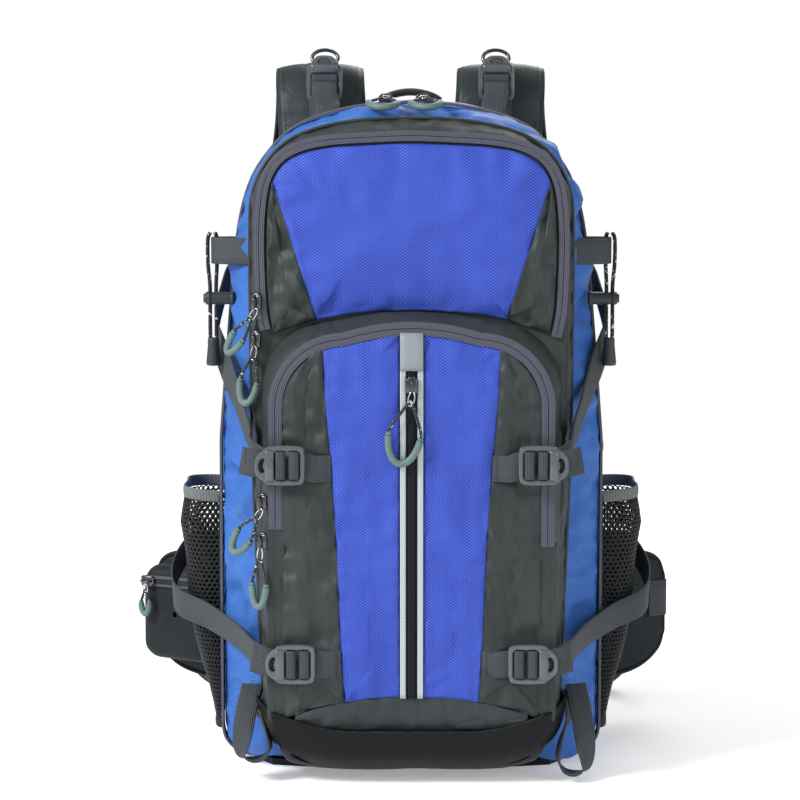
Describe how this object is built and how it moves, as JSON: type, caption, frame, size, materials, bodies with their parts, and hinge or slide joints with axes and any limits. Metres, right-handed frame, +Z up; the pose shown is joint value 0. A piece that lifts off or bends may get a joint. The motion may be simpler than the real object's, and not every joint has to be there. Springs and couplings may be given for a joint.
{
  "type": "hiking daypack",
  "caption": "Hiking daypack with a front-opening main compartment, zipped front pocket, side mesh pockets, compression straps, shoulder straps and a hip belt with a pocket.",
  "frame": {"origin": "centre of the base's flat underside, where the pack stands on the ground", "axes": "+Z up; -Y is the front, where the front pocket is; +Y is the wearer's side; +X is to the right seen from the front"},
  "size_m": [0.4325, 0.3744, 0.543],
  "materials": {
    "blue_nylon": "royal-blue packcloth with a soft sheen",
    "blue_ripstop": "royal-blue diamond ripstop",
    "grey_nylon": "grey-green satin nylon",
    "black_base": "black coated packcloth",
    "black_mesh": "black knitted mesh",
    "sheet_plastic": "matt sheet",
    "webbing": "dark grey ribbed webbing",
    "buckle_plastic": "grey moulded, softly glossy",
    "elastic_cord": "braided sheath over elastic",
    "slider_metal": "gun metal, polished edges",
    "pull_rubber": "sage-green moulded grip"
  },
  "bodies": {
    "pack": {"main_shell": "blue_nylon", "front_shell": "grey_nylon", "base_boot": "black_base", "front_pocket": "grey_nylon", "pocket_panel": "blue_ripstop", "frame_sheet": "sheet_plastic", "back_panel": "black_mesh", "mesh_pocket_left": "black_mesh", "mesh_pocket_right": "black_mesh", "load_lifter_left": "webbing", "load_lifter_right": "webbing", "upper_strap_left": "webbing", "upper_strap_right": "webbing", "lower_strap_left": "webbing", "lower_strap_right": "webbing"},
    "top": {"front_top": "blue_nylon", "pole_loop_left": "webbing", "pole_loop_right": "webbing", "shock_cord_left": "elastic_cord", "shock_cord_right": "elastic_cord", "cord_end_left": "buckle_plastic", "cord_end_right": "buckle_plastic"},
    "upper_flap": {"upper_panel": "blue_ripstop"},
    "pocket_flap": {"pocket_flap": "blue_ripstop"},
    "haul_loop": {"haul_loop": "webbing"},
    "wing_left": {"hip_wing_left": "grey_nylon", "hip_pocket": "grey_nylon", "belt_webbing_left": "webbing", "belt_socket": "buckle_plastic"},
    "wing_right": {"hip_wing_right": "grey_nylon", "belt_webbing_right": "webbing", "belt_plug": "buckle_plastic"},
    "strap_left": {"shoulder_strap_left": "grey_nylon", "lifter_lock_left": "buckle_plastic"},
    "bottom_loop_left": {"bottom_loop_left": "webbing"},
    "upper_lock_left": {"upper_lock_left": "buckle_plastic"},
    "lower_lock_left": {"lower_lock_left": "buckle_plastic"},
    "cord_lock_left": {"cord_lock_left": "buckle_plastic"},
    "strap_right": {"shoulder_strap_right": "grey_nylon", "lifter_lock_right": "buckle_plastic"},
    "bottom_loop_right": {"bottom_loop_right": "webbing"},
    "upper_lock_right": {"upper_lock_right": "buckle_plastic"},
    "lower_lock_right": {"lower_lock_right": "buckle_plastic"},
    "cord_lock_right": {"cord_lock_right": "buckle_plastic"},
    "centre_slider": {"centre_slider": "slider_metal"},
    "centre_pull": {"centre_pull": "pull_rubber"},
    "main_left_slider": {"main_left_slider": "slider_metal"},
    "main_left_pull": {"main_left_pull": "pull_rubber"},
    "main_right_slider": {"main_right_slider": "slider_metal"},
    "main_right_pull": {"main_right_pull": "pull_rubber"},
    "upper_high_slider": {"upper_high_slider": "slider_metal"},
    "upper_high_pull": {"upper_high_pull": "pull_rubber"},
    "upper_low_slider": {"upper_low_slider": "slider_metal"},
    "upper_low_pull": {"upper_low_pull": "pull_rubber"},
    "pocket_high_slider": {"pocket_high_slider": "slider_metal"},
    "pocket_high_pull": {"pocket_high_pull": "pull_rubber"},
    "pocket_low_slider": {"pocket_low_slider": "slider_metal"},
    "pocket_low_pull": {"pocket_low_pull": "pull_rubber"},
    "hip_slider": {"hip_slider": "slider_metal"},
    "hip_pull": {"hip_pull": "pull_rubber"}
  },
  "joints": [
    {"name": "top_fold", "type": "hinge", "parent": "pack", "child": "top", "pos_m": [0, -0.0885, 0.35], "axis": [1, 0, 0], "range_deg": [0, 45]},
    {"name": "upper_flap_open", "type": "hinge", "parent": "top", "child": "upper_flap", "pos_m": [0, -0.0885, 0.35], "axis": [1, 0, 0], "range_deg": [0, 40]},
    {"name": "pocket_flap_open", "type": "hinge", "parent": "pack", "child": "pocket_flap", "pos_m": [0, -0.1105, 0.262], "axis": [1, 0, 0], "range_deg": [0, 60]},
    {"name": "haul_loop_fold", "type": "hinge", "parent": "pack", "child": "haul_loop", "pos_m": [0, 0.108, 0.474], "axis": [-1, 0, 0], "range_deg": [0, 80]},
    {"name": "strap_swing_left", "type": "hinge", "parent": "pack", "child": "strap_left", "pos_m": [-0.07, 0.122, 0.452], "axis": [1, 0, 0], "range_deg": [0, 20], "deforming": ["load_lifter_left"]},
    {"name": "wing_swing_left", "type": "hinge", "parent": "pack", "child": "wing_left", "pos_m": [-0.127, 0.103, 0.086], "axis": [0, 0, -1], "range_deg": [-4, 28]},
    {"name": "bottom_loop_swing_left", "type": "hinge", "parent": "pack", "child": "bottom_loop_left", "pos_m": [-0.1205, -0.07, 0.06], "axis": [0, 1, 0], "range_deg": [0, 75]},
    {"name": "upper_lock_tilt_left", "type": "hinge", "parent": "pack", "child": "upper_lock_left", "pos_m": [-0.078, -0.1122, 0.241], "axis": [0, 0, 1], "range_deg": [0, 40]},
    {"name": "lower_lock_tilt_left", "type": "hinge", "parent": "pack", "child": "lower_lock_left", "pos_m": [-0.071, -0.1122, 0.094], "axis": [0, 0, 1], "range_deg": [0, 40]},
    {"name": "cord_lock_slide_left", "type": "slide", "parent": "top", "child": "cord_lock_left", "axis": [0, 0, 1], "range_m": [-0.018, 0.006]},
    {"name": "strap_swing_right", "type": "hinge", "parent": "pack", "child": "strap_right", "pos_m": [0.07, 0.122, 0.452], "axis": [1, 0, 0], "range_deg": [0, 20], "deforming": ["load_lifter_right"]},
    {"name": "wing_swing_right", "type": "hinge", "parent": "pack", "child": "wing_right", "pos_m": [0.127, 0.103, 0.086], "axis": [0, 0, 1], "range_deg": [-4, 28]},
    {"name": "bottom_loop_swing_right", "type": "hinge", "parent": "pack", "child": "bottom_loop_right", "pos_m": [0.1205, -0.07, 0.06], "axis": [0, -1, 0], "range_deg": [0, 75]},
    {"name": "upper_lock_tilt_right", "type": "hinge", "parent": "pack", "child": "upper_lock_right", "pos_m": [0.078, -0.1122, 0.241], "axis": [0, 0, -1], "range_deg": [0, 40]},
    {"name": "lower_lock_tilt_right", "type": "hinge", "parent": "pack", "child": "lower_lock_right", "pos_m": [0.071, -0.1122, 0.094], "axis": [0, 0, -1], "range_deg": [0, 40]},
    {"name": "cord_lock_slide_right", "type": "slide", "parent": "top", "child": "cord_lock_right", "axis": [0, 0, 1], "range_m": [-0.018, 0.006]},
    {"name": "centre_slide", "type": "slide", "parent": "pocket_flap", "child": "centre_slider", "axis": [0, 0, -1], "range_m": [0, 0.03]},
    {"name": "centre_pull_lift", "type": "hinge", "parent": "centre_slider", "child": "centre_pull", "pos_m": [0, -0.1146, 0.2914], "axis": [-1, 0, 0], "range_deg": [0, 70]},
    {"name": "main_left_slide", "type": "slide", "parent": "top", "child": "main_left_slider", "axis": [-1, 0, 0], "range_m": [0, 0.025]},
    {"name": "main_left_pull_lift", "type": "hinge", "parent": "main_left_slider", "child": "main_left_pull", "pos_m": [-0.019, -0.02465, 0.50909], "axis": [-1, 0, 0], "range_deg": [0, 70]},
    {"name": "main_right_slide", "type": "slide", "parent": "top", "child": "main_right_slider", "axis": [1, 0, 0], "range_m": [0, 0.035]},
    {"name": "main_right_pull_lift", "type": "hinge", "parent": "main_right_slider", "child": "main_right_pull", "pos_m": [0.009, -0.02465, 0.50909], "axis": [-1, 0, 0], "range_deg": [0, 70]},
    {"name": "upper_high_slide", "type": "slide", "parent": "top", "child": "upper_high_slider", "axis": [0, 0, 1], "range_m": [0, 0.06]},
    {"name": "upper_high_pull_lift", "type": "hinge", "parent": "upper_high_slider", "child": "upper_high_pull", "pos_m": [-0.11551, -0.08429, 0.3504], "axis": [-0.8776, 0.4794, 0], "range_deg": [0, 70]},
    {"name": "upper_low_slide", "type": "slide", "parent": "pack", "child": "upper_low_slider", "axis": [0, 0, -1], "range_m": [0, 0.006]},
    {"name": "upper_low_pull_lift", "type": "hinge", "parent": "upper_low_slider", "child": "upper_low_pull", "pos_m": [-0.11601, -0.08429, 0.3224], "axis": [-0.8776, 0.4794, 0], "range_deg": [0, 70]},
    {"name": "pocket_high_slide", "type": "slide", "parent": "pack", "child": "pocket_high_slider", "axis": [0, 0, 1], "range_m": [0, 0.01]},
    {"name": "pocket_high_pull_lift", "type": "hinge", "parent": "pocket_high_slider", "child": "pocket_high_pull", "pos_m": [-0.11137, -0.10247, 0.2044], "axis": [-0.8253, 0.5646, 0], "range_deg": [0, 70]},
    {"name": "pocket_low_slide", "type": "slide", "parent": "pack", "child": "pocket_low_slider", "axis": [0, 0, -1], "range_m": [0, 0.01]},
    {"name": "pocket_low_pull_lift", "type": "hinge", "parent": "pocket_low_slider", "child": "pocket_low_pull", "pos_m": [-0.11137, -0.10247, 0.1754], "axis": [-0.8253, 0.5646, 0], "range_deg": [0, 70]},
    {"name": "hip_slide", "type": "slide", "parent": "wing_left", "child": "hip_slider", "axis": [0.8968, -0.4425, 0], "range_m": [0, 0.045]},
    {"name": "hip_pull_lift", "type": "hinge", "parent": "hip_slider", "child": "hip_pull", "pos_m": [-0.2166, 0.10514, 0.1134], "axis": [-0.8968, 0.4425, 0], "range_deg": [0, 70]}
  ],
  "couplings": [
    {"joint": "centre_pull_lift", "follows": "pocket_flap_open", "ratio": 1}
  ]
}
